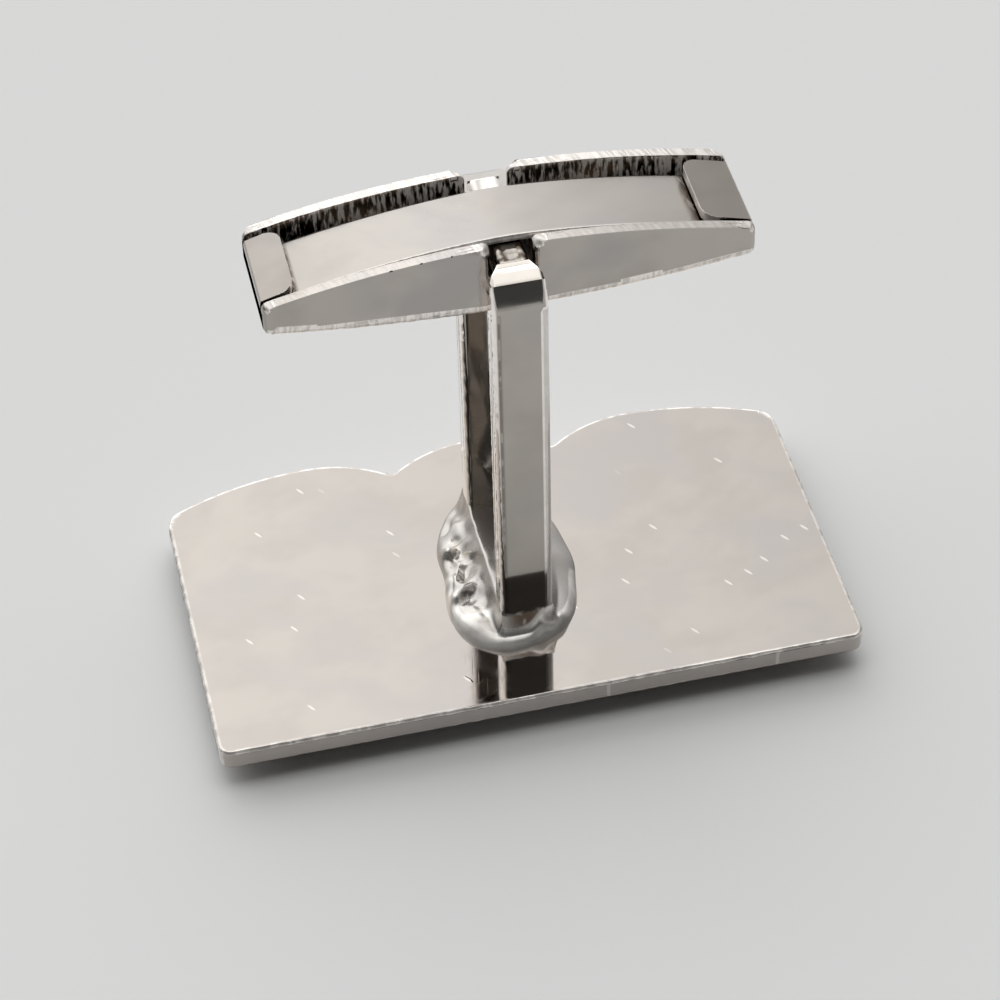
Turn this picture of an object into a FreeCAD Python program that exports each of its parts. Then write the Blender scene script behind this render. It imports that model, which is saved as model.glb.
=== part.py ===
import FreeCAD, Part
import math
import os
from FreeCAD import Vector

# A swivel-bar cufflink lying on its front, in millimetres. +X runs along the face plate, +Y points to the
# plate's lobed edge and +Z goes up the post. The origin is on the resting face, under the plate's middle.

# Face plate: a sheet blank with straight front and sides and three shallow lobes at the rear.
plate_width = 24.0
plate_side = 12.25
arch_rise = 1.35
notch_drop = 1.15
middle_lobe_width = 6.3
arch_crest_share = 0.36
plate_thickness = 0.85
front_corner_round = 0.5
rear_corner_round = 0.8
notch_round = 0.25
plate_edge_round = 0.12

# Front panel: a plain raised layer on the front, set in from the plate's edge all round.
panel_inset = 1.3
panel_thickness = 0.9
panel_bevel = 0.3

# Post: a strip bent to a staple, with a square neck in the middle of its cross bar.
strip_width = 1.95
strip_thickness = 1.1
strip_edge_round = 0.22
leg_gap = 4.5
bend_inside = 0.2
post_height = 17.15
post_offset = -0.4
neck_edge_round = 0.2
shoulder_taper = 0.6

# Solder joint: a low mound that wraps the feet of both legs.
solder_side = 1.6
solder_end = 0.8
solder_height = 1.6

# Leaf spring: a bowed strip that rides on the neck and is held down at both ends.
spring_thickness = 0.3
spring_bow = 1.13
spring_seat_gap = 0.03
spring_end_gap = 0.2
spring_side_gap = 0.44
spring_floor_gap = 0.19

# Toggle body: one folded sheet with a bellied floor, two arched walls and two end flaps of unlike length.
toggle_length = 16.95
toggle_side_gap = 0.08
sheet = 0.38
rim_height = 0.27
wall_end_cover = 0.35
belly_drop = 0.64
wall_end_round = 0.3
fold_round = 0.3
left_flap_length = 1.2
right_flap_length = 1.7
flap_corner_round = 0.55
flap_seat_gap = 0.03
seam_gap = 0.2
pivot_clearance = 0.05
notch_mouth_round = 0.22

# One overrun for all cuts, and how near an edge lies to a place to count as being there.
overrun = 1.0
nearness = 0.001

# Heights of the plate and the hinge axis, and the widths that follow from the post.
plate_depth = plate_side + arch_rise
front_y = -plate_depth / 2
plate_top = panel_thickness + plate_thickness
bar_top = plate_top + post_height
pivot_z = bar_top - strip_thickness / 2
post_depth = leg_gap + 2 * strip_thickness
toggle_width = leg_gap - 2 * toggle_side_gap
inner_width = toggle_width - 2 * sheet
half_length = toggle_length / 2

# The neck's corners sweep this radius as the toggle turns, and the notches clear it.
neck_corner_radius = (strip_thickness / 2 - neck_edge_round) * math.sqrt(2) + neck_edge_round
notch_radius = neck_corner_radius + pivot_clearance

# The spring's curve sets the heights of the toggle's walls, floor and flaps.
spring_half = half_length - sheet - spring_end_gap
spring_crown = bar_top + spring_seat_gap + spring_thickness
spring_radius = (spring_half ** 2 + spring_bow ** 2) / (2 * spring_bow)
spring_end_top = spring_crown - spring_bow
wall_crown = spring_crown + rim_height
wall_end_top = spring_end_top + wall_end_cover
wall_end_bottom = spring_end_top - spring_thickness - spring_floor_gap - sheet
belly_z = wall_end_bottom - belly_drop
belly_radius = (half_length ** 2 + belly_drop ** 2) / (2 * belly_drop)
flap_radius = spring_radius + flap_seat_gap
flap_crown = spring_crown + flap_seat_gap
open_top = wall_crown + overrun


def line(start, end):
    return Part.LineSegment(start, end).toShape()


def arc(start, middle, end):
    return Part.Arc(start, middle, end).toShape()


def crest_arc(crest, end):
    """Arc from a crest, where it runs level, down to an end point."""
    run = end.x - crest.x
    drop = crest.y - end.y
    radius = (run ** 2 + drop ** 2) / (2 * drop)
    half_turn = math.asin(run / radius) / 2
    middle = crest + Vector(radius * math.sin(half_turn), radius * (math.cos(half_turn) - 1), 0)
    return arc(crest, middle, end)


def bowed_arc(radius, crown_z, half, bulge):
    """Arc in the XZ plane, centred on X = 0. A bulge of 1 rises in the middle and -1 sags."""
    end_z = crown_z - bulge * (radius - math.sqrt(radius ** 2 - half ** 2))
    return arc(Vector(-half, 0, end_z), Vector(0, 0, crown_z), Vector(half, 0, end_z))


def arc_ends(edge):
    """Left and right end points of a bowed arc."""
    points = [vertex.Point for vertex in edge.Vertexes]
    return min(points, key=lambda point: point.x), max(points, key=lambda point: point.x)


def between(lower, upper, width):
    """Prism of a width, centred on Y = 0, between two bowed arcs joined by straight ends."""
    lower_left, lower_right = arc_ends(lower)
    upper_left, upper_right = arc_ends(upper)
    wire = Part.Wire([lower, line(lower_right, upper_right), upper, line(upper_left, lower_left)])
    prism = Part.Face(wire).extrude(Vector(0, width, 0))
    prism.translate(Vector(0, -width / 2, 0))
    return prism


def above(lower, width):
    """Prism of a width from a bowed arc up past the top of the walls."""
    lower_left, lower_right = arc_ends(lower)
    left = Vector(lower_left.x, 0, open_top)
    right = Vector(lower_right.x, 0, open_top)
    wire = Part.Wire([lower, line(lower_right, right), line(right, left), line(left, lower_left)])
    prism = Part.Face(wire).extrude(Vector(0, width, 0))
    prism.translate(Vector(0, -width / 2, 0))
    return prism


def block(x_low, x_high, y_low, y_high, z_low, z_high):
    size = Vector(x_high - x_low, y_high - y_low, z_high - z_low)
    return Part.makeBox(size.x, size.y, size.z, Vector(x_low, y_low, z_low))


def upright_edges(shape, places):
    """Edges parallel to Z that stand at the given X, Y places."""
    found = []
    for edge in shape.Edges:
        spot = edge.CenterOfMass
        is_upright = edge.BoundBox.XLength < nearness and edge.BoundBox.YLength < nearness
        if is_upright and any(abs(spot.x - x) < nearness and abs(spot.y - y) < nearness for x, y in places):
            found.append(edge)
    return found


def level_edges(shape, z):
    """Edges that lie in the level plane at a height."""
    return [edge for edge in shape.Edges
            if edge.BoundBox.ZLength < nearness and abs(edge.CenterOfMass.z - z) < nearness]


def lobed_blank(inset, bottom, thickness):
    """Prism of the plate's outline, drawn in by an inset, with its corners and notches rounded."""
    side_x = plate_width / 2 - inset
    low_y = front_y + inset
    side_y = front_y + plate_side - inset
    crest_y = front_y + plate_depth - inset
    notch_x = middle_lobe_width / 2
    notch_y = crest_y - notch_drop
    crest_x = notch_x + arch_crest_share * (side_x - notch_x)
    edges = [line(Vector(-side_x, low_y, bottom), Vector(side_x, low_y, bottom))]
    edges.append(arc(Vector(-notch_x, notch_y, bottom), Vector(0, crest_y, bottom),
                     Vector(notch_x, notch_y, bottom)))
    for side in (-1, 1):
        crest = Vector(side * crest_x, crest_y, bottom)
        edges.append(line(Vector(side * side_x, low_y, bottom), Vector(side * side_x, side_y, bottom)))
        edges.append(crest_arc(crest, Vector(side * side_x, side_y, bottom)))
        edges.append(crest_arc(crest, Vector(side * notch_x, notch_y, bottom)))
    outline = Part.Wire(Part.__sortEdges__(edges))
    blank = Part.Face(outline).extrude(Vector(0, 0, thickness))
    for radius, x, y in ((front_corner_round, side_x, low_y), (rear_corner_round, side_x, side_y),
                         (notch_round, notch_x, notch_y)):
        blank = blank.makeFillet(radius, upright_edges(blank, [(-x, y), (x, y)]))
    return blank


def face_plate():
    blank = lobed_blank(0, panel_thickness, plate_thickness)
    rims = level_edges(blank, panel_thickness) + level_edges(blank, plate_top)
    return blank.makeFillet(plate_edge_round, rims)


def front_panel():
    blank = lobed_blank(panel_inset, 0, panel_thickness)
    return blank.makeChamfer(panel_bevel, level_edges(blank, 0))


def staple():
    """The bent strip, before its cross bar is cut down to the neck."""
    outside = bend_inside + strip_thickness
    bend_z = bar_top - outside
    half = post_depth / 2
    bend_y = half - outside
    diagonal = math.sqrt(1 / 2)
    edges = []
    for radius, leg_y in ((outside, half), (bend_inside, half - strip_thickness)):
        edges.append(line(Vector(0, -bend_y, bend_z + radius), Vector(0, bend_y, bend_z + radius)))
        for side in (-1, 1):
            edges.append(line(Vector(0, side * leg_y, plate_top), Vector(0, side * leg_y, bend_z)))
            middle = Vector(0, side * (bend_y + radius * diagonal), bend_z + radius * diagonal)
            edges.append(arc(Vector(0, side * leg_y, bend_z), middle, Vector(0, side * bend_y, bend_z + radius)))
    for side in (-1, 1):
        foot_in = Vector(0, side * (half - strip_thickness), plate_top)
        edges.append(line(foot_in, Vector(0, side * half, plate_top)))
    strip = Part.Face(Part.Wire(Part.__sortEdges__(edges))).extrude(Vector(strip_width, 0, 0))
    strip.translate(Vector(-strip_width / 2, 0, 0))
    long_edges = [edge for edge in strip.Edges
                  if edge.BoundBox.XLength < nearness and edge.CenterOfMass.z > plate_top + nearness]
    return strip.makeFillet(strip_edge_round, long_edges)


def neck():
    """Square bar with rounded edges, from one bend of the staple to the other."""
    half = strip_thickness / 2
    reach = leg_gap / 2
    bar = block(-half, half, -reach, reach, pivot_z - half, pivot_z + half)
    long_edges = [edge for edge in bar.Edges if edge.BoundBox.YLength > reach]
    return bar.makeFillet(neck_edge_round, long_edges)


def neck_opening():
    """All that is cut from the cross bar: the stretch between the legs, and a taper into each bend."""
    neck_x = strip_thickness / 2
    side_x = strip_width / 2 + overrun
    inner_y = leg_gap / 2
    taper_y = inner_y + shoulder_taper * (side_x - neck_x) / (strip_width / 2 - neck_x)
    bottom = bar_top - strip_thickness - bend_inside
    top = bar_top + overrun
    shape = block(-side_x, side_x, -inner_y, inner_y, bottom, top)
    for x_side in (-1, 1):
        for y_side in (-1, 1):
            start = Vector(x_side * neck_x, y_side * inner_y, bottom)
            corner = Vector(x_side * side_x, y_side * inner_y, bottom)
            end = Vector(x_side * side_x, y_side * taper_y, bottom)
            wedge = Part.Face(Part.makePolygon([start, corner, end, start]))
            shape = shape.fuse(wedge.extrude(Vector(0, 0, top - bottom)))
    return shape.removeSplitter()


def post():
    shape = staple().cut(neck_opening()).fuse(neck()).removeSplitter()
    shape.translate(Vector(0, post_offset, 0))
    return shape


def solder_joint(post_shape):
    """Half of an egg-shaped mound, open where the two legs stand in it."""
    mound = Part.makeSphere(1, Vector(0, 0, 0), Vector(0, 0, 1), 0, 90, 360)
    stretch = FreeCAD.Matrix()
    stretch.scale(strip_width / 2 + solder_side, post_depth / 2 + solder_end, solder_height)
    mound = mound.transformGeometry(stretch)
    mound.translate(Vector(0, post_offset, plate_top))
    return mound.cut(post_shape)


def leaf_spring():
    top = bowed_arc(spring_radius, spring_crown, spring_half, 1)
    bottom = bowed_arc(spring_radius - spring_thickness, spring_crown - spring_thickness, spring_half, 1)
    shape = between(bottom, top, inner_width - 2 * spring_side_gap)
    shape.translate(Vector(0, post_offset, 0))
    return shape


def lens():
    """The toggle's outside: arched top, bellied bottom, rounded ends and rounded lower folds."""
    wall_rise = wall_crown - wall_end_top
    crown_radius = (half_length ** 2 + wall_rise ** 2) / (2 * wall_rise)
    bottom = bowed_arc(belly_radius, belly_z, half_length, -1)
    top = bowed_arc(crown_radius, wall_crown, half_length, 1)
    solid = between(bottom, top, toggle_width)
    ends = [edge for edge in solid.Edges if edge.BoundBox.YLength > inner_width]
    solid = solid.makeFillet(wall_end_round, ends)
    folds = [edge for edge in solid.Edges
             if edge.BoundBox.XLength > half_length and edge.CenterOfMass.z < pivot_z - notch_radius]
    return solid.makeFillet(fold_round, folds)


def end_flap(side, length):
    """Flap that lies over one end of the spring, with its free corners rounded."""
    under = bowed_arc(flap_radius, flap_crown, half_length, 1)
    over = bowed_arc(flap_radius + sheet, flap_crown + sheet, half_length, 1)
    half_width = inner_width / 2 - seam_gap
    free_x = side * (half_length - length)
    root_x = side * (half_length - sheet / 2)
    plan = block(min(free_x, root_x), max(free_x, root_x), -half_width, half_width, belly_z, open_top)
    corners = upright_edges(plan, [(free_x, -half_width), (free_x, half_width)])
    return plan.makeFillet(flap_corner_round, corners).common(between(under, over, inner_width))


def pivot_notches():
    """Slot with a round bottom on the hinge axis, open at the top, through both walls."""
    barrel_start = Vector(0, -toggle_width / 2 - overrun, pivot_z)
    length = toggle_width + 2 * overrun
    barrel = Part.makeCylinder(notch_radius, length, barrel_start, Vector(0, 1, 0))
    slot = block(-notch_radius, notch_radius, -length / 2, length / 2, pivot_z, open_top)
    return barrel.fuse(slot).removeSplitter()


def toggle_body():
    cavity_half = half_length - sheet
    floor_top = bowed_arc(belly_radius - sheet, belly_z + sheet, cavity_half, -1)
    flap_top = bowed_arc(flap_radius + sheet, flap_crown + sheet, half_length + sheet, 1)
    body = lens().cut(above(floor_top, inner_width)).cut(above(flap_top, inner_width))
    slit_bottom = arc_ends(floor_top)[0].z
    for x_side in (-1, 1):
        slit_x = sorted((x_side * (cavity_half - sheet), x_side * (half_length + sheet)))
        for y_side in (-1, 1):
            slit_y = sorted((y_side * (inner_width / 2 - seam_gap), y_side * inner_width / 2))
            body = body.cut(block(*slit_x, *slit_y, slit_bottom, open_top))
    body = body.cut(pivot_notches())
    mouths = [edge for edge in body.Edges
              if edge.BoundBox.XLength < nearness and edge.BoundBox.ZLength < nearness
              and abs(abs(edge.CenterOfMass.x) - notch_radius) < nearness and edge.CenterOfMass.z > bar_top]
    body = body.makeFillet(notch_mouth_round, mouths)
    for side, length in ((-1, left_flap_length), (1, right_flap_length)):
        body = body.fuse(end_flap(side, length))
    body = body.removeSplitter()
    body.translate(Vector(0, post_offset, 0))
    return body


post_shape = post()
parts = {
    "face_plate": face_plate(),
    "front_panel": front_panel(),
    "post": post_shape,
    "solder_joint": solder_joint(post_shape),
    "toggle_body": toggle_body(),
    "leaf_spring": leaf_spring(),
}
os.makedirs("parts", exist_ok=True)
for name, shape in parts.items():
    box = shape.BoundBox
    print(name, "solids", len(shape.Solids), "valid", shape.isValid(), "volume", round(shape.Volume, 3),
          "box", [round(v, 3) for v in (box.XMin, box.XMax, box.YMin, box.YMax, box.ZMin, box.ZMax)])
    shape.exportStep(os.path.join("parts", name + ".step"))
print("hinge axis height", round(pivot_z, 4), "toggle width", round(toggle_width, 3))
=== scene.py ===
import bmesh
import bpy
import math
from mathutils import Matrix, Vector


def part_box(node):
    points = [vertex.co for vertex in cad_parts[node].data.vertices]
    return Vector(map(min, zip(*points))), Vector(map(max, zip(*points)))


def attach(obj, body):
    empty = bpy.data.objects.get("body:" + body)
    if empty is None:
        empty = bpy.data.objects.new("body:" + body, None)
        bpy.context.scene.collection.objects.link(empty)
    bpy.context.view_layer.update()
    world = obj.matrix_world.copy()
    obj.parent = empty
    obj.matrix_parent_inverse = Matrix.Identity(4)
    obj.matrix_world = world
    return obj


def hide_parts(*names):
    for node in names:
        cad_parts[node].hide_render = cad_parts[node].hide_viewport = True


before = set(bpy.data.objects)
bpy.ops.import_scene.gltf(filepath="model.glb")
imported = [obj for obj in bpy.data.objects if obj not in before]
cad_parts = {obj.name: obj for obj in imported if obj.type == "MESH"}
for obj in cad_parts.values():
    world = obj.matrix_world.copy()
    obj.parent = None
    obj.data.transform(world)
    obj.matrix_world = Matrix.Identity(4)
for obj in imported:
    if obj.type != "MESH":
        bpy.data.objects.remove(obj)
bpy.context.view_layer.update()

# Face plate: a flat blank sheared from sheet metal, with a straight front edge and three shallow lobes
# behind. It is plated and polished to a mirror, with fine scratches, a few nicks and soft smudges, and its
# rim is a little ragged where the shears came through, with a painted highlight on it, brightest at the rear.
# Its underside carries painted shade. All the rest is fixed to it.
MM = 0.001
plate_colour = (0.455, 0.42, 0.385)
plate_rim_highlight_colour = (0.95, 0.91, 0.86)
plate_nick_glint_colour = (0.62, 0.59, 0.55)
weld_gap = 0.0008
flat_turn = math.radians(0.15)
sharp_turn = math.radians(28)
narrow_share = 0.6
most_cuts = 160
grain_roughness = 0.6
grain_limits = (0.3, 0.7)
flat_weight = 50


def ring_cuts(bm, step):
    """Edges in rings across four-sided faces, grouped by the cuts that bring each ring down to a step."""
    met = set()
    cuts = {}
    for first in bm.edges:
        if first in met:
            continue
        met.add(first)
        ring = [first]
        for edge in ring:
            for face in edge.link_faces:
                if len(face.verts) != 4:
                    continue
                spot = [loop.edge for loop in face.loops].index(edge)
                across = face.loops[(spot + 2) % 4].edge
                if across not in met:
                    met.add(across)
                    ring.append(across)
        count = int(max(edge.calc_length() for edge in ring) / step)
        cuts.setdefault(count, []).extend(ring)
    return cuts


def mark(bm, marks):
    """Stores how ragged the metal is at each vertex and its bright mark for painted light and shade, from its
    place and normal.
    """
    ragged = bm.verts.layers.float.new("ragged")
    bright = bm.verts.layers.float.new("bright")
    bm.normal_update()
    for vert in bm.verts:
        vert[ragged], vert[bright] = marks(vert.co, vert.normal)


def worked_copy(node, edge_break, margin, step, flat_area, marks, reshape=None):
    """A CAD node's mesh in millimetres: merged, its flats whole, its sharp edges broken, the rest divided.

    Flats larger than the area given get a margin of their own, so that a mark can fade out on them.
    What reshape gives for each vertex is its place before the metal is marked.
    """
    bm = bmesh.new()
    bm.from_mesh(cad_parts[node].data)
    bmesh.ops.scale(bm, vec=Vector((1, 1, 1)) / MM, verts=bm.verts)
    bmesh.ops.remove_doubles(bm, verts=bm.verts, dist=weld_gap)
    bmesh.ops.dissolve_limit(bm, angle_limit=flat_turn, verts=bm.verts, edges=bm.edges)
    if edge_break:
        sharp = [edge for edge in bm.edges if edge.is_manifold and edge.calc_face_angle() > sharp_turn]
        bmesh.ops.bevel(bm, geom=sharp, offset=edge_break, segments=1, affect="EDGES", clamp_overlap=True)
    for face in [face for face in bm.faces if face.calc_area() > flat_area]:
        narrow = narrow_share * face.calc_area() / face.calc_perimeter()
        bmesh.ops.inset_individual(bm, faces=[face], thickness=min(margin, narrow), use_even_offset=True)
    small = {edge for edge in bm.edges if any(face.calc_area() < flat_area for face in edge.link_faces)}
    for count, ring in ring_cuts(bm, step).items():
        ring = [edge for edge in ring if edge in small]
        if count and ring:
            bmesh.ops.subdivide_edges(bm, edges=ring, cuts=min(count, most_cuts), use_grid_fill=True,
                                      use_only_quads=True)
    if reshape:
        for vert in bm.verts:
            vert.co = reshape(vert.co)
    mark(bm, marks)
    mesh = bpy.data.meshes.new(node + "_worked")
    bm.to_mesh(mesh)
    bm.free()
    return mesh


def new_tree(name, inputs):
    """An empty Geometry Nodes tree with its inputs, one geometry output and the two nodes that end it."""
    tree = bpy.data.node_groups.new(name, "GeometryNodeTree")
    for title, kind in inputs:
        tree.interface.new_socket(title, in_out="INPUT", socket_type="NodeSocket" + kind)
    tree.interface.new_socket("Geometry", in_out="OUTPUT", socket_type="NodeSocketGeometry")
    given = tree.nodes.new("NodeGroupInput")
    real = tree.nodes.new("GeometryNodeRealizeInstances")
    finish = tree.nodes.new("GeometryNodeSetMaterial")
    out = tree.nodes.new("NodeGroupOutput")
    tree.links.new(real.outputs[0], finish.inputs["Geometry"])
    tree.links.new(given.outputs["Finish"], finish.inputs["Material"])
    tree.links.new(finish.outputs[0], out.inputs[0])
    return tree, given, real


def sum_of(tree, operation, first, second):
    """A Math node in a tree. Each operand is a socket or a number."""
    node = tree.nodes.new("ShaderNodeMath")
    node.operation = operation
    for spot, value in enumerate((first, second)):
        if isinstance(value, (int, float)):
            node.inputs[spot].default_value = value
        else:
            tree.links.new(value, node.inputs[spot])
    return node.outputs[0]


def spread(tree, value, low, high, to_low, to_high):
    """A socket's values between two limits, spread smoothly over another range."""
    node = tree.nodes.new("ShaderNodeMapRange")
    node.interpolation_type = "SMOOTHSTEP"
    limits = {"From Min": low, "From Max": high, "To Min": to_low, "To Max": to_high}
    for title, number in limits.items():
        node.inputs[title].default_value = number
    tree.links.new(value, node.inputs["Value"])
    return node.outputs["Result"]


def ragged_tree():
    """Bites uneven, streaky notches into the metal where it is marked ragged, and creases its sharp edges."""
    tree, given, real = new_tree("ragged metal", (
        ("Geometry", "Geometry"), ("Depth", "Float"), ("Grain", "Vector"), ("Detail", "Float"),
        ("Lean", "Float"), ("Crease", "Float"), ("Seed", "Float"), ("Finish", "Material")))
    add = tree.nodes.new
    link = tree.links.new
    place = add("GeometryNodeInputPosition")
    leaned = add("ShaderNodeVectorRotate")
    leaned.rotation_type = "Z_AXIS"
    link(place.outputs[0], leaned.inputs["Vector"])
    link(given.outputs["Lean"], leaned.inputs["Angle"])
    stretched = add("ShaderNodeVectorMath")
    stretched.operation = "MULTIPLY"
    link(leaned.outputs[0], stretched.inputs[0])
    link(given.outputs["Grain"], stretched.inputs[1])
    grain = add("ShaderNodeTexNoise")
    grain.noise_dimensions = "4D"
    grain.inputs["Scale"].default_value = 1.0
    grain.inputs["Roughness"].default_value = grain_roughness
    link(stretched.outputs[0], grain.inputs["Vector"])
    link(given.outputs["Detail"], grain.inputs["Detail"])
    link(given.outputs["Seed"], grain.inputs["W"])
    ragged = add("GeometryNodeInputNamedAttribute")
    ragged.data_type = "FLOAT"
    ragged.inputs["Name"].default_value = "ragged"
    bite = spread(tree, grain.outputs["Fac"], *grain_limits, -1.0, 0.0)
    held = sum_of(tree, "MULTIPLY", bite, ragged.outputs["Attribute"])
    outward = add("GeometryNodeInputNormal")
    push = add("ShaderNodeVectorMath")
    push.operation = "SCALE"
    link(outward.outputs[0], push.inputs[0])
    link(sum_of(tree, "MULTIPLY", held, given.outputs["Depth"]), push.inputs["Scale"])
    moved = add("GeometryNodeSetPosition")
    link(given.outputs["Geometry"], moved.inputs["Geometry"])
    link(push.outputs[0], moved.inputs["Offset"])
    smooth = add("GeometryNodeSetShadeSmooth")
    link(moved.outputs[0], smooth.inputs["Geometry"])
    bend = add("GeometryNodeInputMeshEdgeAngle")
    creased = add("GeometryNodeSetShadeSmooth")
    creased.domain = "EDGE"
    creased.inputs["Shade Smooth"].default_value = False
    link(smooth.outputs[0], creased.inputs["Geometry"])
    link(sum_of(tree, "GREATER_THAN", bend.outputs["Unsigned Angle"], given.outputs["Crease"]),
         creased.inputs["Selection"])
    link(creased.outputs[0], real.inputs[0])
    return tree


def grown(mesh, tree, values, name):
    """Plain mesh, in metres, of what a tree makes from a mesh in millimetres, its flats shaded flat."""
    made = bpy.data.objects.new(name, mesh)
    bpy.context.scene.collection.objects.link(made)
    modifier = made.modifiers.new(tree.name, "NODES")
    modifier.node_group = tree
    for item in tree.interface.items_tree:
        if item.in_out == "INPUT" and item.name in values:
            modifier[item.identifier] = values[item.name]
    weighted = made.modifiers.new("flat faces", "WEIGHTED_NORMAL")
    weighted.mode = "FACE_AREA"
    weighted.weight = flat_weight
    weighted.keep_sharp = True
    bpy.context.view_layer.update()
    seen = made.evaluated_get(bpy.context.evaluated_depsgraph_get())
    result = bpy.data.meshes.new_from_object(seen)
    result.transform(Matrix.Scale(MM, 4))
    result.name = name
    bpy.data.objects.remove(made)
    bpy.data.meshes.remove(mesh)
    return result


def set_piece(mesh, name, node, body):
    """Puts a finished mesh in the scene in the place of a CAD node."""
    piece = bpy.data.objects.new(name, mesh)
    bpy.context.scene.collection.objects.link(piece)
    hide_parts(node)
    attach(piece, body)


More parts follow.
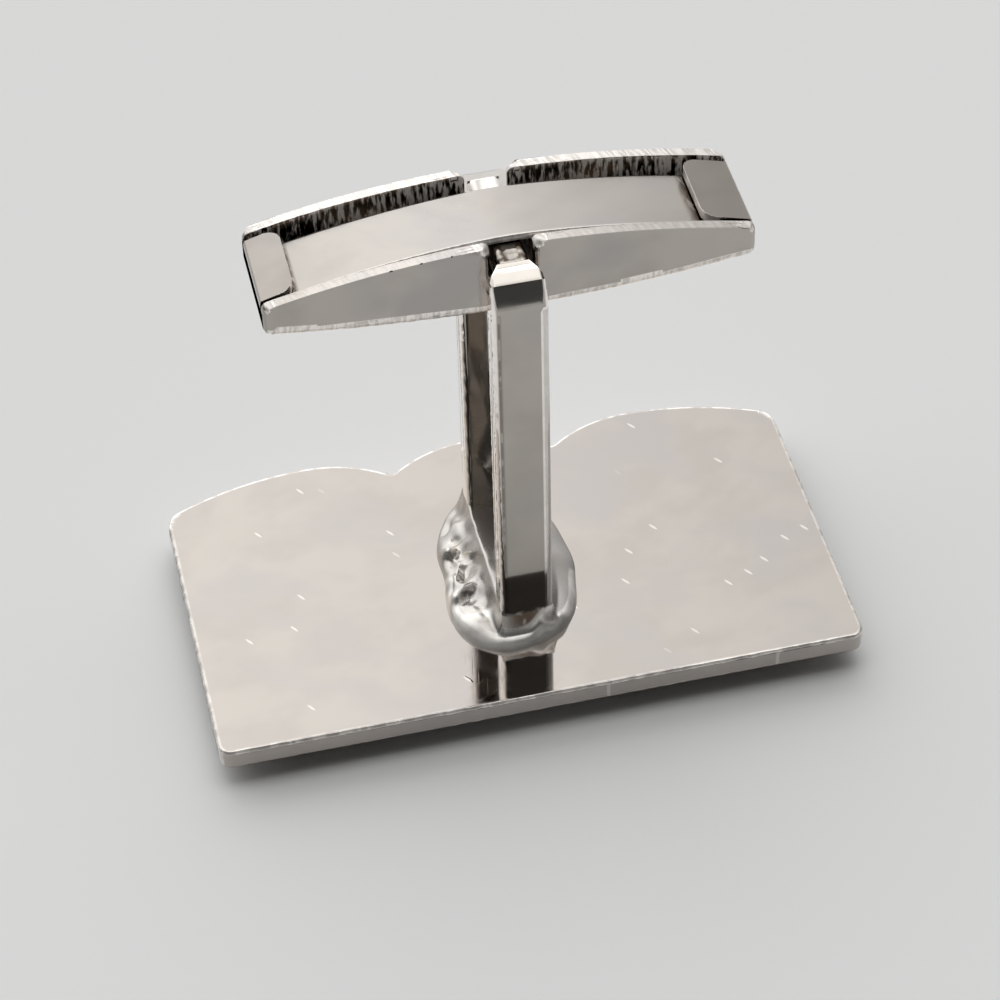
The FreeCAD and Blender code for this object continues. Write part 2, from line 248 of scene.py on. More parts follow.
class Finish:
    """A plated finish, laid on layer by layer. Patterns are in millimetres of the piece itself.

    Each pair of limits is where a change starts and where it is whole, in the bright mark or in a pattern.
    """

    # Bright marks from 0 to 1 are painted highlights and from 4 to 5 matte painted highlights; below 0 they
    # are painted shade, streaked with a painted reflection from about -1.5.
    matte_marks = (4.0, 5.0)
    matte_metal = 0.3
    painted_shade_marks = (-1.0, 0.0)
    even_marks = (-0.55, -0.45)
    reflection_streak_marks = (-1.6, -1.4)
    lit_streaks = (0.38, 0.6)
    toothed_streaks = (0.3, 0.7)
    shade_gap_streaks = (0.5, 0.62)
    shade_gap_cover = 0.15
    reflection_streak_limits = (0.42, 0.6)
    painted_shade_tone = (0.2, 0.16, 0.13)
    nick_chances = (0.6, 0.64)
    nick_lip = 0.5
    cloud_limits = (0.4, 0.68)
    blush_limits = (0.45, 0.7)
    blush_tone = (1.0, 1.01, 1.05)
    smudge_limits = (0.5, 0.75)
    hairlines = ((-38, 9.0), (24, 13.0), (78, 11.0))
    hair_limits = (0.64, 0.74)
    hair_depth = -0.03
    relief_unit = 0.01 * MM

    def __init__(self, name, colour, roughness):
        self.material = bpy.data.materials.new(name)
        self.material.use_nodes = True
        self.tree = self.material.node_tree
        self.shader = self.tree.nodes["Principled BSDF"]
        self.place = self.tree.nodes.new("ShaderNodeTexCoord").outputs["Object"]
        self.base = colour
        self.colour = (*colour, 1.0)
        self.roughness = roughness
        self.metal = 1.0
        self.relief = None

    def pattern(self, kind, turn, counts, detail, shift=0.0):
        """A noise or cell pattern, turned in the XY plane and stretched by its counts per millimetre."""
        laid = self.tree.nodes.new("ShaderNodeMapping")
        laid.vector_type = "TEXTURE"
        laid.inputs["Location"].default_value = (shift * MM, shift * MM, shift * MM)
        laid.inputs["Rotation"].default_value = (0.0, 0.0, math.radians(turn))
        laid.inputs["Scale"].default_value = tuple(MM / count for count in counts)
        self.tree.links.new(self.place, laid.inputs["Vector"])
        node = self.tree.nodes.new(kind)
        node.inputs["Scale"].default_value = 1.0
        if "Detail" in node.inputs:
            node.inputs["Detail"].default_value = detail
        self.tree.links.new(laid.outputs[0], node.inputs["Vector"])
        return node

    def noise(self, turn, counts, detail, shift=0.0):
        """The value of a noise pattern, from about 0.2 to 0.8."""
        return self.pattern("ShaderNodeTexNoise", turn, counts, detail, shift).outputs["Fac"]

    def tint(self, share, colour):
        """Lays another colour over the finish, as far as a share says."""
        node = self.tree.nodes.new("ShaderNodeMix")
        node.data_type = "RGBA"
        self.tree.links.new(share, node.inputs[0])
        if isinstance(self.colour, tuple):
            node.inputs[6].default_value = self.colour
        else:
            self.tree.links.new(self.colour, node.inputs[6])
        node.inputs[7].default_value = (*colour, 1.0)
        self.colour = node.outputs[2]

    def toned(self, red, green, blue):
        """The bare finish's colour, each part of it times a share."""
        return self.base[0] * red, self.base[1] * green, self.base[2] * blue

    def dull(self, amount):
        """Adds to the roughness."""
        self.roughness = sum_of(self.tree, "ADD", self.roughness, amount)

    def raise_by(self, amount):
        """Adds to the relief, which is in hundredths of a millimetre."""
        self.relief = amount if self.relief is None else sum_of(self.tree, "ADD", self.relief, amount)

    def handled(self, shift, tone, smear):
        """Soft clouds of tone, dull smudges and hairline scratches, as polished metal gets with handling."""
        cloud = self.noise(turn=20, counts=(0.35, 0.5, 0.4), detail=3.0, shift=shift)
        self.tint(spread(self.tree, cloud, *self.cloud_limits, 0.0, 1.0), self.toned(tone, tone, tone))
        blush = self.noise(turn=-30, counts=(0.28, 0.4, 0.4), detail=2.0, shift=shift + 15)
        self.tint(spread(self.tree, blush, *self.blush_limits, 0.0, 1.0),
                  self.toned(*(tone * part for part in self.blush_tone)))
        smudge = self.noise(turn=-35, counts=(0.5, 1.1, 0.8), detail=4.0, shift=shift + 7)
        self.dull(spread(self.tree, smudge, *self.smudge_limits, 0.0, smear))
        for turn, count in self.hairlines:
            hair = self.noise(turn, counts=(0.35, count, 0.6), detail=2.0, shift=shift + turn)
            self.raise_by(spread(self.tree, hair, *self.hair_limits, 0.0, self.hair_depth))

    def sheared(self, colour, roughness, lean, counts, tooth, dimmest):
        """Painted light and shade, as the bright mark of each place says, with streaky relief where it is
        bright.

        From 0 to 1 it is a streaky painted highlight, and from 4 to 5 it turns matte too. Below 0 it is
        painted
        shade: even at first, broken in streaks from about -0.5, and streaked with a painted reflection from
        about -1.5.
        """
        mark_node = self.tree.nodes.new("ShaderNodeAttribute")
        mark_node.attribute_name = "bright"
        bright = mark_node.outputs["Fac"]
        # Painted highlight where the mark is from 0 to 1, broken in streaks.
        streak = self.noise(lean, counts, detail=2.0, shift=3.0)
        lit = spread(self.tree, streak, *self.lit_streaks, dimmest, 1.0)
        highlight_share = spread(self.tree, bright, 0.0, 1.0, 0.0, 1.0)
        self.tint(sum_of(self.tree, "MULTIPLY", highlight_share, lit), colour)
        self.dull(sum_of(self.tree, "MULTIPLY", highlight_share, roughness))
        self.metal = spread(self.tree, bright, *self.matte_marks, 1.0, self.matte_metal)
        rough = spread(self.tree, streak, *self.toothed_streaks, 0.0, tooth)
        self.raise_by(sum_of(self.tree, "MULTIPLY", highlight_share, rough))
        # Painted shade where the mark is below 0, broken in streaks.
        painted_shade_share = spread(self.tree, bright, *self.painted_shade_marks, 1.0, 0.0)
        shade_gaps = spread(self.tree, streak, *self.shade_gap_streaks, 1.0, self.shade_gap_cover)
        even = spread(self.tree, bright, *self.even_marks, 0.0, 1.0)
        covered = sum_of(self.tree, "MAXIMUM", shade_gaps, even)
        self.tint(sum_of(self.tree, "MULTIPLY", painted_shade_share, covered), self.toned(*self.painted_shade_tone))
        # Painted reflection in streaks where the mark is below about -1.5.
        reflection_share = spread(self.tree, bright, *self.reflection_streak_marks, 1.0, 0.0)
        reflection_streaks = spread(self.tree, streak, *self.reflection_streak_limits, 0.0, 1.0)
        reflection_streaks = sum_of(self.tree, "MULTIPLY", reflection_share, reflection_streaks)
        self.tint(reflection_streaks, colour)
        self.metal = sum_of(self.tree, "SUBTRACT", self.metal, reflection_streaks)

    def nicked(self, turn, counts, size, colour):
        """Short nicks, all struck one way, their raised lips catching the light and their lighter colour a
        painted glint.
        """
        cells = self.pattern("ShaderNodeTexVoronoi", turn, counts, detail=0.0, shift=5.0)
        cells.voronoi_dimensions = "2D"
        nick = spread(self.tree, cells.outputs["Distance"], size * 0.5, size, 1.0, 0.0)
        chance = spread(self.tree, cells.outputs["Color"], *self.nick_chances, 0.0, 1.0)
        struck = sum_of(self.tree, "MULTIPLY", nick, chance)
        self.tint(struck, colour)
        self.raise_by(sum_of(self.tree, "MULTIPLY", struck, self.nick_lip))

    def done(self):
        """The material, with its colour, roughness, metal and relief joined to the shader."""
        link = self.tree.links.new
        layers = {"Base Color": self.colour, "Roughness": self.roughness, "Metallic": self.metal}
        for socket, value in layers.items():
            if isinstance(value, (tuple, float)):
                self.shader.inputs[socket].default_value = value
            else:
                link(value, self.shader.inputs[socket])
        if self.relief is not None:
            bump = self.tree.nodes.new("ShaderNodeBump")
            bump.inputs["Strength"].default_value = 1.0
            bump.inputs["Distance"].default_value = self.relief_unit
            link(self.relief, bump.inputs["Height"])
            link(bump.outputs[0], self.shader.inputs["Normal"])
        return self.material


def clamped(value):
    """A number held between 0 and 1."""
    return min(1.0, max(0.0, value))


# Bright marks: 0 is plain plating, 1 a painted highlight, 4.8 a matte painted highlight, and below 0 painted
# shade.
matte_highlight = 4.8
# Painted shade under the plate.
underside_painted_shade = -0.6
# Painted highlights on the rim, brightest at the rear, and a painted glint on the top edge.
rear_highlight, front_highlight, end_highlight = 0.9, 0.1, 0.6
top_edge_glint = 0.4
front_raggedness = 0.3
face_up, face_down = 0.9996, -0.9
rim_turn, rim_fade = 0.95, 0.4
rear_turn, top_edge_turn = 0.01, 0.1


def plate_marks(place, normal):
    """The rim is ragged, with a painted highlight bright at the rear and duller elsewhere, and the underside
    carries painted shade.
    """
    if normal.z > face_up:
        return 0.0, 0.0
    if normal.z < face_down:
        return 0.0, underside_painted_shade
    side = clamped((rim_turn - abs(normal.z)) / rim_fade)
    if normal.y > rear_turn:
        return side, rear_highlight
    if normal.z > top_edge_turn:
        return side * front_raggedness, matte_highlight if normal.z < rim_turn else top_edge_glint
    return side * front_raggedness, front_highlight if abs(normal.y) > abs(normal.x) else end_highlight


ragged_metal = ragged_tree()
plate_finish = Finish("plated sheet", plate_colour, roughness=0.05)
plate_finish.handled(shift=0.0, tone=0.93, smear=0.05)
plate_finish.nicked(turn=36, counts=(0.9, 0.26, 1.0), size=0.066, colour=plate_nick_glint_colour)
plate_finish.sheared(plate_rim_highlight_colour, roughness=0.2, lean=0, counts=(2.2, 2.2, 1.0), tooth=0.5, dimmest=0.3)
plate_blank = worked_copy("face_plate", edge_break=0.0, margin=0.2, step=0.09, flat_area=0.5,
                          marks=plate_marks)
plate_mesh = grown(plate_blank, ragged_metal,
                   {"Depth": 0.1, "Grain": (2.5, 2.5, 1.0), "Detail": 3.0, "Lean": 0.0, "Crease": 0.7,
                    "Seed": 3.0, "Finish": plate_finish.done()}, "plate")
set_piece(plate_mesh, "plate", "face_plate", "base")

# Front panel: the raised layer under the plate that the cufflink rests on, a plain blank with a bevelled
# edge. It is plated like the plate but left satin, with straight brushing along its length, and is fixed
# flat to it.
panel_colour = (0.47, 0.45, 0.42)
panel_cloud_colour = (0.43, 0.41, 0.38)
# Painted shade on the panel's sides.
panel_side_painted_shade = -0.8
panel_face_turn = 0.995
brushing_depth = 0.25
brushing_dullness = 0.08


def panel_marks(place, normal):
    """The panel's sides carry painted shade, dark up to the rim of its face."""
    return 0.0, panel_side_painted_shade if abs(normal.z) < panel_face_turn else 0.0


panel_finish = Finish("satin front", panel_colour, roughness=0.3)
panel_cloud = panel_finish.noise(turn=10, counts=(0.25, 0.4, 0.4), detail=3.0)
panel_finish.tint(spread(panel_finish.tree, panel_cloud, 0.35, 0.7, 0.0, 1.0), panel_cloud_colour)
panel_brushing = panel_finish.noise(turn=0, counts=(0.12, 16.0, 2.0), detail=4.0)
panel_finish.raise_by(spread(panel_finish.tree, panel_brushing, 0.3, 0.7, 0.0, brushing_depth))
panel_finish.dull(spread(panel_finish.tree, panel_brushing, 0.4, 0.65, 0.0, brushing_dullness))
panel_finish.sheared(panel_colour, roughness=0.1, lean=0, counts=(1.0, 1.0, 1.0), tooth=0.1, dimmest=0.8)
panel_blank = worked_copy("front_panel", edge_break=0.06, margin=0.3, step=0.4, flat_area=5.0,
                          marks=panel_marks)
panel_mesh = grown(panel_blank, ragged_metal,
                   {"Depth": 0.0, "Grain": (1.0, 1.0, 1.0), "Detail": 1.0, "Lean": 0.0, "Crease": 0.9,
                    "Seed": 1.0, "Finish": panel_finish.done()}, "front")
set_piece(panel_mesh, "front", "front_panel", "base")

# Post: one strip bent over to a staple, its two legs standing on the plate and its cross bar cut down to a
# square neck that the toggle turns on. It is sheared from thick sheet, so the sides are streaky, with a
# painted highlight on them, and each bend has two flats where it was folded over in two strokes.
post_colour = (0.49, 0.457, 0.418)
# Colour of the painted highlight on the sheared sides.
post_side_highlight_colour = (0.98, 0.93, 0.88)
post_low, post_high = (Vector(corner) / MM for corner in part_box("post"))
post_y = (post_low.y + post_high.y) / 2
strip_thickness = 1.1
bend_round = 1.3
bend_y = (post_high.y - post_low.y) / 2 - bend_round
bend_z = post_high.z - bend_round
bend_flatness = 0.9
bend_crease = math.pi / 4
bend_crease_catch = math.radians(3.5)
neck_half = 0.56
neck_margin, neck_drop = 0.1, 0.5
side_turn, side_fade = 0.3, 0.3
front_turn = -0.05
left_edge_turns, right_edge_turn = (-0.35, -0.02), 0.02
leg_skin = 0.5
far_bend_from, far_bend_rise, near_bend_from = 1.8, 0.5, 1.4
# Painted light on the post: a matte painted highlight on the neck in the far notch, a painted highlight on
# the far bend, painted shade on the neck in the near notch and on the near bend, and a painted dark
# reflection along the front's left edge.
far_neck_highlight, near_neck_painted_shade = 4.7, -0.85
left_edge_dark_reflection = -0.55
# The legs are darker inside, between them.
leg_inside_darkening = -0.3
far_bend_highlight, near_bend_painted_shade = 0.8, -0.4


def fold_bends(place):
    """Draws the outside of each round bend in to two flats that meet in a crease at half way."""
    side = 1 if place.y > post_y else -1
    out = side * (place.y - post_y) - bend_y
    up = place.z - bend_z
    if out <= 0 or up <= 0:
        return place
    reach = math.hypot(out, up)
    angle = math.atan2(up, out)
    if abs(angle - bend_crease) < bend_crease_catch:
        angle = bend_crease
    from_crease = bend_crease / 2 - abs(angle - bend_crease)
    share = max(0.0, (reach - bend_round + strip_thickness) / strip_thickness)
    reach *= 1 + bend_flatness * share * (math.cos(bend_crease / 2) / math.cos(from_crease) - 1)
    return Vector((place.x, post_y + side * (bend_y + reach * math.cos(angle)),
                   bend_z + reach * math.sin(angle)))


def post_marks(place, normal):
    """The sheared sides are ragged, with a painted highlight; the front's left edge has a painted dark
    reflection and its right edge a matte painted highlight.

    The neck has a matte painted highlight in the far notch and painted shade in the near one, the far bend a
    painted highlight and the near bend painted shade on top, and the legs are darker inside.
    """
    out = abs(place.y - post_y)
    if out < bend_y + neck_margin and place.z > bend_z - neck_drop and abs(place.x) < neck_half:
        return 0.0, far_neck_highlight if place.y > post_y else near_neck_painted_shade
    side = clamped((abs(normal.x) - side_turn) / side_fade)
    front = normal.y < front_turn and place.y < post_y - bend_y and place.z < bend_z
    if front and left_edge_turns[0] < normal.x < left_edge_turns[1]:
        return 0.0, left_edge_dark_reflection
    if front and normal.x > right_edge_turn:
        return 0.0, matte_highlight
    if abs(normal.y) > 0.9 and out < bend_y + bend_round - leg_skin:
        return 0.0, leg_inside_darkening
    if place.y > post_y + far_bend_from and place.z > bend_z + far_bend_rise and normal.z > 0.5:
        return 0.0, far_bend_highlight
    if place.y < post_y - near_bend_from and normal.z > 0.95:
        return 0.0, near_bend_painted_shade
    return side, side


post_finish = Finish("plated strip", post_colour, roughness=0.06)
post_finish.handled(shift=11.0, tone=0.9, smear=0.05)
post_finish.sheared(post_side_highlight_colour, roughness=0.06, lean=0, counts=(1.5, 1.5, 1.6), tooth=0.15,
                    dimmest=0.88)
post_strip = worked_copy("post", edge_break=0.0, margin=0.1, step=0.13, flat_area=2.0, marks=post_marks,
                         reshape=fold_bends)
post_mesh = grown(post_strip, ragged_metal,
                  {"Depth": 0.02, "Grain": (1.5, 1.5, 5.0), "Detail": 3.0, "Lean": 0.0, "Crease": 0.5,
                   "Seed": 5.0, "Finish": post_finish.done()}, "strip_post")
set_piece(post_mesh, "strip_post", "post", "base")

# Solder joint: soft solder that ran round the feet of both legs and set there, plated over with the rest.
# It climbs the legs, fills the gap between them and ends on the plate in a rounded lip. It is a smooth slope
# on the right, steep and hollow at the front, and clotted in lumps on the left, where it was fed in.
solder_colour = (0.60, 0.572, 0.535)
# Colour of the painted highlights on the solder.
solder_highlight_colour = (0.98, 0.95, 0.9)
solder_base = (Vector(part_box("face_plate")[1]) / MM).z
solder_reach = Vector((2.45, 3.95, 0))
solder_squareness = 2.3
solder_bulge, solder_bulge_at, solder_bulge_wide = 0.17, 226, 27
solder_waves = ((3, 1.0, 0.015), (7, 2.0, 0.012))
solder_rings = 64
solder_spokes = 200
solder_lip_power = 8
least_slope = 0.03
lumps_from, lumps_fade = 0.9, 0.5
lumps_front, lumps_front_fade = 2.5, 0.8
lumps_rim_fade = 0.1
lip_front, lip_front_fade = 0.25, 0.4
lip_from, lip_fade = 0.88, 0.06
# Each slope: its height at the rim, its fall on the way there, its climb at the leg, how far out that climb
# reaches, and how hollow it is.
solder_slopes = {"right": (0.1, 0.0, 0.85, 1.0, 1.0), "left": (0.52, 0.1, 0.85, 1.0, 2.5),
                 "front": (0.5, 0.14, 0.8, 0.5, 1.3), "rear": (0.3, 0.0, 1.05, 1.0, 1.5)}
# Each bead, or pit where it is negative: its place in plan from the post's middle, its width and its height.
solder_beads = ((-2.1, 0.95, 0.38, 0.35), (-2.25, -0.55, 0.36, 0.32), (-2.35, -1.45, 0.38, 0.32),
                (-1.7, -2.7, 0.7, 0.25), (0.42, -3.62, 0.26, 0.28), (1.35, -3.35, 0.32, 0.3),
                (-1.9, 0.15, 0.32, 0.22), (-1.85, -1.05, 0.34, 0.2), (-1.55, 0.7, 0.34, -0.2),
                (-1.45, -0.45, 0.36, -0.22), (-1.4, -1.35, 0.38, -0.25), (-1.3, -2.1, 0.38, -0.22),
                (-1.6, 2.0, 0.4, 0.2))
# Each spot: its place in plan, its widths along X and Y, and its bright mark: a painted highlight where
# positive, painted shade where negative.
solder_light_spots = ((-0.1, -3.45, 0.9, 0.24, -1.0), (-1.75, -2.75, 0.75, 0.5, 1.2),
                (0.55, -3.75, 0.3, 0.16, 1.2), (1.45, -3.35, 0.3, 0.3, 1.0), (-2.3, -1.5, 0.3, 0.4, 0.9),
                (-2.3, -0.4, 0.3, 0.3, 0.9), (-2.1, 0.8, 0.3, 0.3, 0.7))
leg_half = Vector((post_high.x - post_low.x, post_high.y - post_low.y, 0)) / 2


def solder_slope(out, side):
    """Height of the solder on one side of the legs, from 0 at the leg to 1 out at the rim."""
    rim, fall, climb, reach, hollow = solder_slopes[side]
    return rim - fall * out + climb * max(0.0, 1 - out / reach) ** hollow


def solder_height(x, y, angle, share):
    """Height of the solder over the plate at a place in plan, a share of the way out to its rim."""
    inside = min(leg_half.x / max(abs(math.cos(angle)), 1e-6), leg_half.y / max(abs(math.sin(angle)), 1e-6))
    inside = min(1 - least_slope, inside / solder_edge(angle))
    out = max(0.0, (share - inside) / (1 - inside))
    sideways = math.cos(angle) ** 2
    flank = solder_slope(out, "right" if math.cos(angle) > 0 else "left")
    face = solder_slope(out, "front" if math.sin(angle) < 0 else "rear")
    beads = sum(high * math.exp(-((x - bead_x) ** 2 + (y - bead_y) ** 2) / wide ** 2)
                for bead_x, bead_y, wide, high in solder_beads)
    lip = math.sqrt(max(0.0, 1 - out ** solder_lip_power))
    return (sideways * flank + (1 - sideways) * face + beads) * lip


def solder_edge(angle):
    """Reach of the solder's rim from the post's middle: a squarish oval, wavy, fuller at the front left."""
    oval = ((abs(math.cos(angle)) / solder_reach.x) ** solder_squareness
            + (abs(math.sin(angle)) / solder_reach.y) ** solder_squareness)
    swell = 1 + solder_bulge * math.exp(-((math.degrees(angle) - solder_bulge_at) / solder_bulge_wide) ** 2)
    for count, start, rise in solder_waves:
        swell += rise * math.sin(count * angle + start)
    return oval ** (-1 / solder_squareness) * swell


def solder_pool():
    """The smooth pool of solder, closed underneath. Its left side is marked ragged, for the lumps.

    The hollow under the front leg has painted shade, a few places round it have painted highlights, and the
    lip at the front has a matte painted highlight.
    """
    bm = bmesh.new()
    ragged = bm.verts.layers.float.new("ragged")
    bright = bm.verts.layers.float.new("bright")
    rings = []
    for ring in range(1, solder_rings + 1):
        share = ring / solder_rings
        verts = []
        for spoke in range(solder_spokes):
            angle = math.tau * spoke / solder_spokes
            x = solder_edge(angle) * share * math.cos(angle)
            y = solder_edge(angle) * share * math.sin(angle)
            vert = bm.verts.new((x, post_y + y, solder_base + solder_height(x, y, angle, share)))
            lumpy = clamped((-x - lumps_from) / lumps_fade) * clamped((y + lumps_front) / lumps_front_fade)
            vert[ragged] = lumpy * min(1.0, (1 - share) / lumps_rim_fade)
            # Painted highlights and painted shade at the listed spots.
            vert[bright] = sum(amount * math.exp(-((x - spot_x) / wide_x) ** 2 - ((y - spot_y) / wide_y) ** 2)
                               for spot_x, spot_y, wide_x, wide_y, amount in solder_light_spots)
            # A matte painted highlight along the lip at the front.
            forward = clamped((-math.sin(angle) - lip_front) / lip_front_fade)
            vert[bright] += matte_highlight * forward * clamped((share - lip_from) / lip_fade)
            verts.append(vert)
        rings.append(verts)
    top = bm.verts.new((0, post_y, rings[0][0].co.z))
    foot = bm.verts.new((0, post_y, solder_base))
    for spoke in range(solder_spokes):
        beside = (spoke + 1) % solder_spokes
        bm.faces.new((top, rings[0][spoke], rings[0][beside]))
        bm.faces.new((foot, rings[-1][beside], rings[-1][spoke]))
        for inner, outer in zip(rings, rings[1:]):
            bm.faces.new((inner[spoke], outer[spoke], outer[beside], inner[beside]))
    mesh = bpy.data.meshes.new("solder_pool")
    bm.to_mesh(mesh)
    bm.free()
    return mesh


solder_finish = Finish("plated solder", solder_colour, roughness=0.27)
solder_finish.handled(shift=23.0, tone=0.88, smear=0.1)
solder_finish.sheared(solder_highlight_colour, roughness=0.05, lean=0, counts=(1.3, 1.3, 1.3), tooth=0.1,
                      dimmest=0.6)
solder_mesh = grown(solder_pool(), ragged_metal,
                    {"Depth": 0.17, "Grain": (1.6, 1.6, 1.6), "Detail": 0.0, "Lean": 0.0, "Crease": 1.2,
                     "Seed": 9.0, "Finish": solder_finish.done()}, "solder")
set_piece(solder_mesh, "solder", "solder_joint", "base")

# Toggle body: one sheet folded up into a shallow boat, with two lens-shaped walls, a notch in each for the
# neck and a flap turned over each end. The cut rims and the lower folds carry streaky painted highlights, and
# the faces are plated and a little dull, with painted shade on the ends and flaps. It turns on the neck of
# the post.
fold_colour = (0.485, 0.453, 0.417)
# Colour of the painted highlights on the rims, folds and flap edges.
fold_rim_highlight_colour = (0.98, 0.93, 0.88)
fold_low, fold_high = (Vector(corner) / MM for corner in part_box("toggle_body"))
fold_y = (fold_low.y + fold_high.y) / 2
fold_sheet = 0.38
fold_round = 0.3
fold_inner = (fold_high.y - fold_low.y) / 2 - fold_sheet
left_flap_length = 1.2
right_flap_length = 1.7
flap_round = 0.55
wall_crown = 19.5
wall_end = 18.45
wall_radius = (fold_high.x ** 2 + (wall_crown - wall_end) ** 2) / (2 * (wall_crown - wall_end))
belly_drop = 0.64
belly_radius = (fold_high.x ** 2 + belly_drop ** 2) / (2 * belly_drop)
wall_skin, flap_skin, end_skin, fold_skin = 0.05, 0.1, 0.12, 0.04
end_rounding, notch_reach = 0.42, 1.2
rim_low, flap_edge_low, flap_low, inner_wall_low = 0.9, 1.2, 0.7, 0.5
rim_end_gap, rim_end_fade = 0.1, 0.25
rim_notch_gap, rim_notch_fade = 0.98, 0.15
rim_corner = math.pi / 4
rim_corner_catch = math.radians(4)
# Painted shade on the ends.
end_painted_shade = -0.3
# Painted highlights on the lower folds, the rims and the left flap's edge.
lower_fold_raggedness, lower_fold_highlight = 0.35, 4.0
rim_raggedness, far_rim_highlight, near_rim_highlight = 0.15, 0.75, 0.3
left_flap_edge_highlight = 1.0
# Painted shade on the flaps, deeper on the right.
left_flap_painted_shade, right_flap_painted_shade = -0.3, -0.44
# Painted shade inside the far wall, streaked with a painted reflection.
far_wall_shade_and_reflection = -2.0


def fold_marks(place, normal):
    """Wall tops and lower folds are ragged, with painted highlights, flap edges have painted highlights, and
    ends and flaps painted shade.

    The far wall has painted shade inside, streaked with a painted reflection, and rims have a matte painted
    highlight where they round over at ends and notches.
    """
    out = abs(place.y - fold_y)
    belly = fold_low.z + belly_radius - math.sqrt(max(0.0, belly_radius ** 2 - place.x ** 2))
    height = place.z - belly
    end = fold_high.x - abs(place.x)
    in_wall = out > fold_inner - wall_skin
    in_flap = out < fold_inner - flap_skin
    flap = fold_high.x - (left_flap_length if place.x < 0 else right_flap_length)
    if end < end_skin and abs(normal.x) > 0.4:
        return 0.0, end_painted_shade
    if in_wall and height < fold_round + fold_skin:
        return (lower_fold_raggedness, lower_fold_highlight) if normal.z > -0.92 else (0.0, 0.0)
    rounded = end < end_rounding or abs(place.x) < notch_reach
    if in_wall and rounded and height > rim_low and normal.z > 0.15:
        return 0.0, matte_highlight
    if in_wall and normal.z > 0.5:
        return rim_raggedness, far_rim_highlight if place.y > fold_y else near_rim_highlight
    if in_flap and height > flap_edge_low and abs(place.x) < flap + flap_round and -0.5 < normal.z < 0.9:
        return 0.0, left_flap_edge_highlight if place.x < 0 else matte_highlight
    if in_flap and height > flap_low and abs(place.x) > flap - flap_skin and normal.z > 0.7:
        return 0.0, left_flap_painted_shade if place.x < 0 else right_flap_painted_shade
    if out < fold_inner + flap_skin and height > inner_wall_low and abs(normal.y) > 0.7:
        return 0.0, far_wall_shade_and_reflection if place.y > fold_y else 0.0
    return 0.0, 0.0


def square_rims(place):
    """Draws the rounded outer edges of the wall tops out square, all but near the ends and notches."""
    side = 1 if place.y > fold_y else -1
    edge = fold_inner + fold_sheet - fold_round
    out = side * (place.y - fold_y) - edge
    top = wall_crown - wall_radius + math.sqrt(wall_radius ** 2 - place.x ** 2) - fold_round
    up = place.z - top
    share = min(1.0, (fold_high.x - abs(place.x) - rim_end_gap) / rim_end_fade,
                (abs(place.x) - rim_notch_gap) / rim_notch_fade)
    if out <= 0 or up <= 0 or share <= 0:
        return place
    angle = math.atan2(up, out)
    if abs(angle - rim_corner) < rim_corner_catch:
        angle = rim_corner
    reach = math.hypot(out, up) * (1 + share * (1 / max(math.cos(angle), math.sin(angle)) - 1))
    return Vector((place.x, fold_y + side * (edge + reach * math.cos(angle)), top + reach * math.sin(angle)))


fold_finish = Finish("plated fold", fold_colour, roughness=0.13)
fold_finish.handled(shift=31.0, tone=0.86, smear=0.1)
fold_finish.sheared(fold_rim_highlight_colour, roughness=0.15, lean=22, counts=(8.0, 1.2, 1.5), tooth=0.6, dimmest=0.5)
fold_blank = worked_copy("toggle_body", edge_break=0.03, margin=0.2, step=0.07, flat_area=0.5,
                         marks=fold_marks, reshape=square_rims)
fold_mesh = grown(fold_blank, ragged_metal,
                  {"Depth": 0.07, "Grain": (5.0, 1.2, 1.5), "Detail": 3.0, "Lean": -0.38, "Crease": 0.45,
                   "Seed": 8.0, "Finish": fold_finish.done()}, "toggle")
set_piece(fold_mesh, "toggle", "toggle_body", "toggle")

# Leaf spring: a strip of rolled spring steel, bowed along the toggle, with its ends under the two flaps and
# its middle pressing on the neck of the post, so that the toggle snaps crosswise or in line. Its cut edges
# carry a painted highlight, and painted shade lies on it along the flaps.
spring_colour = (0.46, 0.432, 0.398)
# Colour of the painted highlight on the spring's edges.
spring_edge_highlight_colour = (0.95, 0.90, 0.85)
spring_low, spring_high = (Vector(corner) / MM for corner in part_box("leaf_spring"))
spring_thickness = 0.3
spring_bow = 1.13
spring_peak = 0.3
spring_peak_softness = 0.006
spring_edge_round = 0.13
spring_edge_steps = 4
spring_edge_turns = (0.4, 0.9)
spring_steps = 181
# Painted shade on the spring beside each flap's edge.
right_flap_shade_reach, right_flap_shade = (0.0, 0.45), 0.95
left_flap_shade_reach, left_flap_shade = (0.05, 0.25), 0.8


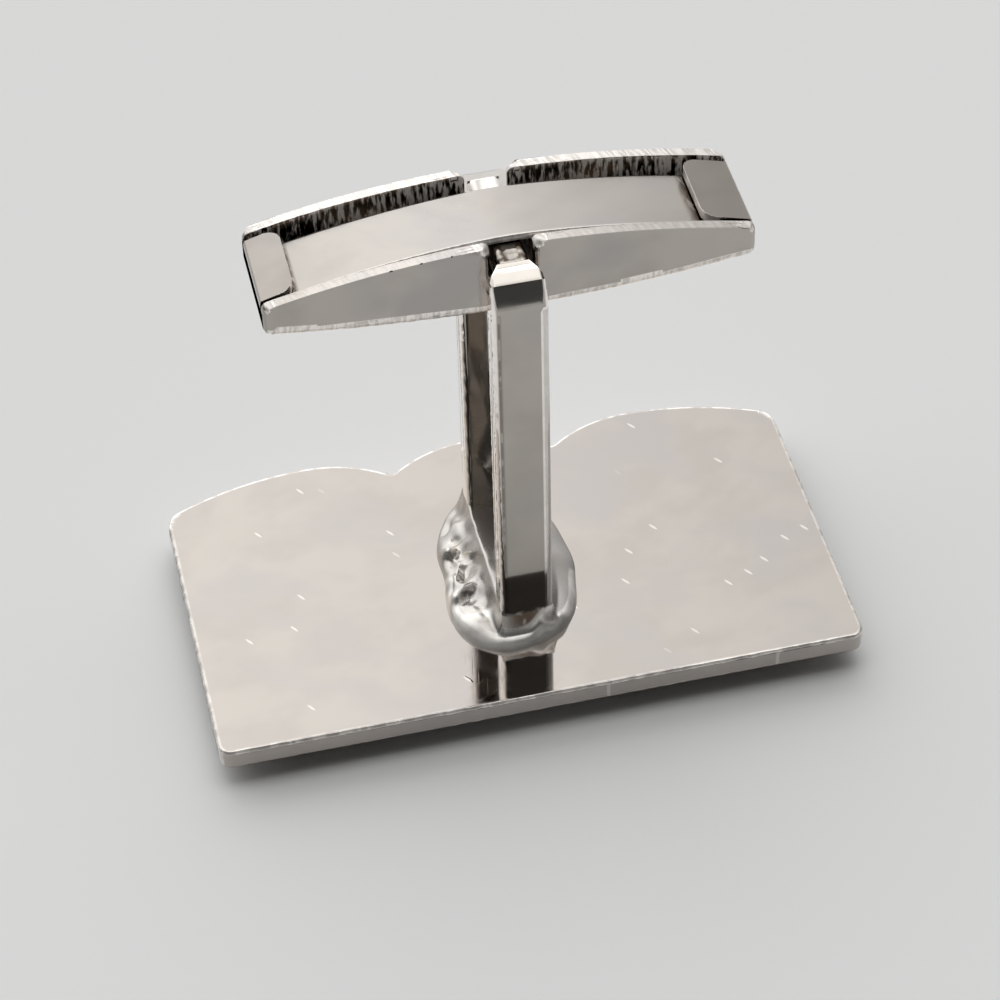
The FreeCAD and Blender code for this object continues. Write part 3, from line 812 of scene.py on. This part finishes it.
def bowed_strip_tree():
    """Sweeps a rounded strip along a bow, part round and part peaked like a roof, with painted highlights on
    its edges and painted shade by the flaps.
    """
    tree, given, real = new_tree("bowed strip", (
        ("Geometry", "Geometry"), ("Half length", "Float"), ("Width", "Float"), ("Thickness", "Float"),
        ("Crown", "Float"), ("Bow", "Float"), ("Peak", "Float"), ("Across", "Float"), ("Edge round", "Float"),
        ("Left flap", "Float"), ("Right flap", "Float"), ("Finish", "Material")))
    add = tree.nodes.new
    link = tree.links.new
    line = add("GeometryNodeCurvePrimitiveLine")
    for spot, sign in (("Start", -1), ("End", 1)):
        end = add("ShaderNodeCombineXYZ")
        link(sum_of(tree, "MULTIPLY", given.outputs["Half length"], sign), end.inputs[0])
        link(end.outputs[0], line.inputs[spot])
    fine = add("GeometryNodeResampleCurve")
    fine.inputs["Count"].default_value = spring_steps
    link(line.outputs[0], fine.inputs["Curve"])
    place = add("GeometryNodeInputPosition")
    apart = add("ShaderNodeSeparateXYZ")
    link(place.outputs[0], apart.inputs[0])
    share = sum_of(tree, "DIVIDE", apart.outputs[0], given.outputs["Half length"])
    squared = sum_of(tree, "MULTIPLY", share, share)
    peaked = sum_of(tree, "SQRT", sum_of(tree, "ADD", squared, spring_peak_softness), 0)
    roof = sum_of(tree, "MULTIPLY", peaked, given.outputs["Peak"])
    round_part = sum_of(tree, "MULTIPLY", squared, sum_of(tree, "SUBTRACT", 1.0, given.outputs["Peak"]))
    drop = sum_of(tree, "MULTIPLY", sum_of(tree, "ADD", roof, round_part), given.outputs["Bow"])
    bowed = add("ShaderNodeCombineXYZ")
    link(apart.outputs[0], bowed.inputs[0])
    link(given.outputs["Across"], bowed.inputs[1])
    link(sum_of(tree, "SUBTRACT", given.outputs["Crown"], drop), bowed.inputs[2])
    path = add("GeometryNodeSetPosition")
    link(fine.outputs[0], path.inputs["Geometry"])
    link(bowed.outputs[0], path.inputs["Position"])
    upright = add("GeometryNodeSetCurveNormal")
    upright.mode = "Z_UP"
    link(path.outputs[0], upright.inputs["Curve"])
    section = add("GeometryNodeCurvePrimitiveQuadrilateral")
    link(given.outputs["Width"], section.inputs["Width"])
    link(given.outputs["Thickness"], section.inputs["Height"])
    eased = add("GeometryNodeFilletCurve")
    eased.mode = "POLY"
    eased.inputs["Count"].default_value = spring_edge_steps
    link(section.outputs[0], eased.inputs["Curve"])
    link(given.outputs["Edge round"], eased.inputs["Radius"])
    swept = add("GeometryNodeCurveToMesh")
    swept.inputs["Fill Caps"].default_value = True
    link(upright.outputs[0], swept.inputs["Curve"])
    link(eased.outputs[0], swept.inputs["Profile Curve"])
    facing = add("ShaderNodeSeparateXYZ")
    link(add("GeometryNodeInputNormal").outputs[0], facing.inputs[0])
    sideways = sum_of(tree, "ABSOLUTE", facing.outputs[1], 0)
    # A matte painted highlight on the sideways edges.
    edge = spread(tree, sideways, *spring_edge_turns, 0.0, matte_highlight)
    along = add("ShaderNodeSeparateXYZ")
    link(add("GeometryNodeInputPosition").outputs[0], along.inputs[0])
    right = sum_of(tree, "SUBTRACT", given.outputs["Right flap"], along.outputs[0])
    left = sum_of(tree, "ADD", given.outputs["Left flap"], along.outputs[0])
    # Painted shade beside the flaps.
    flap_shade = sum_of(tree, "ADD", spread(tree, right, *right_flap_shade_reach, right_flap_shade, 0.0),
                   spread(tree, left, *left_flap_shade_reach, left_flap_shade, 0.0))
    bright = add("GeometryNodeStoreNamedAttribute")
    bright.data_type = "FLOAT"
    bright.domain = "POINT"
    bright.inputs["Name"].default_value = "bright"
    link(swept.outputs[0], bright.inputs["Geometry"])
    link(sum_of(tree, "SUBTRACT", edge, flap_shade), bright.inputs["Value"])
    smooth = add("GeometryNodeSetShadeSmooth")
    link(bright.outputs[0], smooth.inputs["Geometry"])
    link(smooth.outputs[0], real.inputs[0])
    return tree


spring_finish = Finish("spring strip", spring_colour, roughness=0.2)
spring_finish.handled(shift=43.0, tone=0.93, smear=0.1)
spring_finish.sheared(spring_edge_highlight_colour, roughness=0.2, lean=22, counts=(6.0, 1.2, 1.5), tooth=0.5,
                      dimmest=0.5)
spring_rolling = spring_finish.noise(turn=0, counts=(0.15, 7.0, 7.0), detail=3.0)
spring_finish.raise_by(spread(spring_finish.tree, spring_rolling, 0.3, 0.7, 0.0, 0.08))
spring_mesh = grown(bpy.data.meshes.new("spring_seed"), bowed_strip_tree(),
                    {"Half length": spring_high.x, "Width": spring_high.y - spring_low.y,
                     "Thickness": spring_thickness, "Crown": spring_high.z - spring_thickness / 2,
                     "Bow": spring_bow, "Peak": spring_peak, "Across": (spring_low.y + spring_high.y) / 2,
                     "Edge round": spring_edge_round, "Left flap": fold_high.x - left_flap_length,
                     "Right flap": fold_high.x - right_flap_length, "Finish": spring_finish.done()}, "spring")
set_piece(spring_mesh, "spring", "leaf_spring", "toggle")

# Stage: a sheet of pale paper in a soft room. The room is bright overhead and behind, darker to the right and
# left behind the part, with a low glow at the right rear, and dim in front, where the camera stands.
paper_colour = (0.9, 0.9, 0.895, 1.0)
paper_roughness = 0.9
floor_half = 6.0
floor_mesh = bpy.data.meshes.new("floor")
floor_mesh.from_pydata([(-floor_half, -floor_half, 0), (floor_half, -floor_half, 0),
                        (floor_half, floor_half, 0), (-floor_half, floor_half, 0)], [], [(0, 1, 2, 3)])
floor = bpy.data.objects.new("floor", floor_mesh)
bpy.context.scene.collection.objects.link(floor)
paper = bpy.data.materials.new("pale paper")
paper.use_nodes = True
paper.node_tree.nodes["Principled BSDF"].inputs["Base Color"].default_value = paper_colour
paper.node_tree.nodes["Principled BSDF"].inputs["Roughness"].default_value = paper_roughness
floor_mesh.materials.append(paper)

room = bpy.data.worlds.new("soft room")
room.use_nodes = True
bpy.context.scene.world = room
room_tree = room.node_tree
sky = room_tree.nodes["Background"]
sky.inputs["Color"].default_value = (1.0, 1.0, 1.0, 1.0)
room_way = room_tree.nodes.new("ShaderNodeTexCoord").outputs["Generated"]
room_dimmest = 0.08


def light_from(direction, near, far, strength):
    """Light from one side of the room, full within the near angle and gone beyond the far one.

    With a negative strength it is shade.
    """
    facing = room_tree.nodes.new("ShaderNodeVectorMath")
    facing.operation = "DOT_PRODUCT"
    facing.inputs[1].default_value = Vector(direction).normalized()
    room_tree.links.new(room_way, facing.inputs[0])
    return spread(room_tree, facing.outputs["Value"], math.cos(math.radians(far)),
                  math.cos(math.radians(near)), 0.0, strength)


overhead = sum_of(room_tree, "ADD", light_from((-0.1, 0.62, 0.77), near=20, far=85, strength=1.55),
                  light_from((0.1, 0.05, 1.0), near=10, far=26, strength=0.55))
rear_half = light_from((0.0, 1.0, 0.0), near=90, far=109, strength=1.0)
room_light = sum_of(room_tree, "MULTIPLY", overhead, rear_half)
for glow in (light_from((0.72, 0.55, 0.42), near=15, far=46, strength=-0.65),
             light_from((-0.75, 0.5, 0.45), near=15, far=45, strength=-0.4),
             light_from((0.75, 0.66, 0.05), near=10, far=26, strength=0.55)):
    room_light = sum_of(room_tree, "ADD", room_light, glow)
room_light = sum_of(room_tree, "ADD", sum_of(room_tree, "MAXIMUM", room_light, 0.0), room_dimmest)
room_tree.links.new(room_light, sky.inputs["Strength"])

camera = bpy.data.cameras.new("camera")
camera.lens = 117.171
camera.sensor_width = 36.0
camera.clip_start = 0.01
camera_object = bpy.data.objects.new("camera", camera)
camera_right = Vector((0.97388, -0.22613, -0.02067))
camera_up = Vector((0.17447, 0.68688, 0.70551))
camera_back = Vector((-0.14534, -0.69069, 0.70839))
camera_turn = Matrix((camera_right, camera_up, camera_back)).transposed().to_4x4()
camera_nudge = 0.00009
camera_place = Vector((-0.017606, -0.082649, 0.089867)) + camera_nudge * camera_right
camera_object.matrix_world = Matrix.Translation(camera_place) @ camera_turn
bpy.context.scene.collection.objects.link(camera_object)
bpy.context.scene.camera = camera_object

bpy.context.scene.view_settings.view_transform = "Standard"
